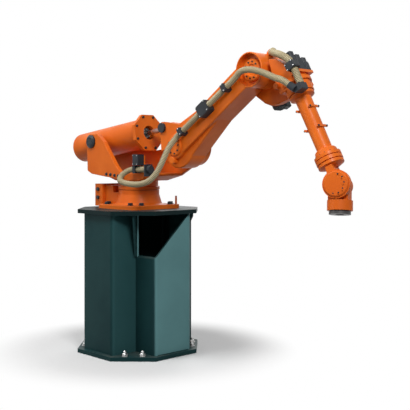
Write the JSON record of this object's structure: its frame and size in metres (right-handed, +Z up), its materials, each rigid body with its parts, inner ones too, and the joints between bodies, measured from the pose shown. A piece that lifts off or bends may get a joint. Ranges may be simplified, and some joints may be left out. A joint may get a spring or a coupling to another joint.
{
  "type": "industrial robot arm on pedestal",
  "caption": "Articulated shelf-mounted industrial robot arm with spring balancer, clamped hose package and tool flange, standing on a welded cross-section floor pedestal",
  "frame": {"origin": "where the vertical swivel axis meets the floor, at the middle of the pedestal's underside", "axes": "+X forward in the arm's plane at rest, +Y to the robot's left, +Z up"},
  "size_m": [3.287, 1.04, 2.6363],
  "materials": {
    "orange_paint": "glossy orange machine paint",
    "pedestal_green": "semi-gloss dark green machine paint",
    "black_parts": "satin black",
    "hose_beige": "matt beige corrugated hose",
    "bright_steel": "ground steel",
    "dark_steel": "dark oiled steel"
  },
  "bodies": {
    "base": {"pedestal_floor_plate": "pedestal_green", "pedestal_top_plate": "pedestal_green", "pedestal_wing_front": "pedestal_green", "pedestal_wing_rear": "pedestal_green", "pedestal_wing_left": "pedestal_green", "pedestal_wing_right": "pedestal_green", "pedestal_gussets": "pedestal_green", "base_casting": "orange_paint", "connector_box": "orange_paint", "connector_sockets": "black_parts", "base_lugs": "orange_paint"},
    "turret": {"turret_casting": "orange_paint", "balancer_bracket_right": "orange_paint", "balancer_bracket_left": "orange_paint", "trunnion_caps": "black_parts", "junction_box": "black_parts", "shoulder_drive": "orange_paint", "shoulder_motor": "black_parts", "swivel_motor": "black_parts", "hose_turret_run": "hose_beige", "turret_hose_gland": "black_parts", "turret_hose_clamp": "black_parts", "hose_shoulder_loop": "hose_beige", "junction_post": "orange_paint"},
    "lower_arm": {"lower_arm": "orange_paint", "balancer_eye_pin": "black_parts", "shoulder_cover": "orange_paint", "elbow_cover": "orange_paint", "hose_arm_run": "hose_beige", "arm_hose_clamps": "black_parts", "arm_cable_box": "black_parts", "hose_elbow_loop": "hose_beige"},
    "balancer_rod": {"balancer_rod": "bright_steel"},
    "balancer_barrel": {"balancer_barrel": "orange_paint", "balancer_front_disc": "orange_paint"},
    "forearm": {"elbow_casting": "orange_paint", "elbow_drive": "orange_paint", "elbow_motor": "black_parts", "roll_motor": "black_parts", "bend_motor": "black_parts", "twist_motor": "black_parts", "hose_bracket": "black_parts", "hose_forearm_loop": "hose_beige", "forearm_hose_clamp": "black_parts"},
    "forearm_tube": {"forearm_tube": "orange_paint", "tube_front_ring": "orange_paint", "wrist_yoke": "orange_paint", "wrist_covers": "orange_paint"},
    "wrist": {"wrist_hand": "orange_paint"},
    "tool": {"tool_flange": "dark_steel"}
  },
  "joints": [
    {"name": "swivel", "type": "hinge", "parent": "base", "child": "turret", "pos_m": [0, 0, 1.3], "axis": [0, 0, 1], "range_deg": [-170, 170]},
    {"name": "shoulder", "type": "hinge", "parent": "turret", "child": "lower_arm", "pos_m": [0.65, 0, 1.863], "axis": [0, 1, 0], "range_deg": [-40, 60], "deforming": ["hose_shoulder_loop"]},
    {"name": "elbow", "type": "hinge", "parent": "lower_arm", "child": "forearm", "pos_m": [1.51533, 0, 2.45773], "axis": [0, -1, 0], "range_deg": [-60, 75], "deforming": ["hose_elbow_loop"]},
    {"name": "roll", "type": "hinge", "parent": "forearm", "child": "forearm_tube", "pos_m": [1.75903, 0, 2.5873], "axis": [0.4695, 0, -0.8829], "range_deg": [-200, 200]},
    {"name": "bend", "type": "hinge", "parent": "forearm_tube", "child": "wrist", "pos_m": [2.30549, 0, 1.55955], "axis": [0.302, -0.9397, 0.1606], "range_deg": [-83, 132]},
    {"name": "twist", "type": "hinge", "parent": "wrist", "child": "tool", "pos_m": [2.32505, -0.02977, 1.34854], "axis": [0.0914, -0.1391, -0.986], "range_deg": [-350, 350]},
    {"name": "balancer_pivot", "type": "hinge", "parent": "lower_arm", "child": "balancer_rod", "pos_m": [0.446, -0.03, 2.03], "axis": [0, 1, 0], "range_deg": [-68.28, 45.85]},
    {"name": "balancer_slide", "type": "slide", "parent": "balancer_rod", "child": "balancer_barrel", "axis": [0.9917, 0, 0.1285], "range_m": [-0.1986, 0.1341]}
  ],
  "couplings": [
    {"joint": "balancer_pivot", "follows": "shoulder", "ratio": -1.1213},
    {"joint": "balancer_slide", "follows": "shoulder", "m_per_rad": -0.1849}
  ]
}
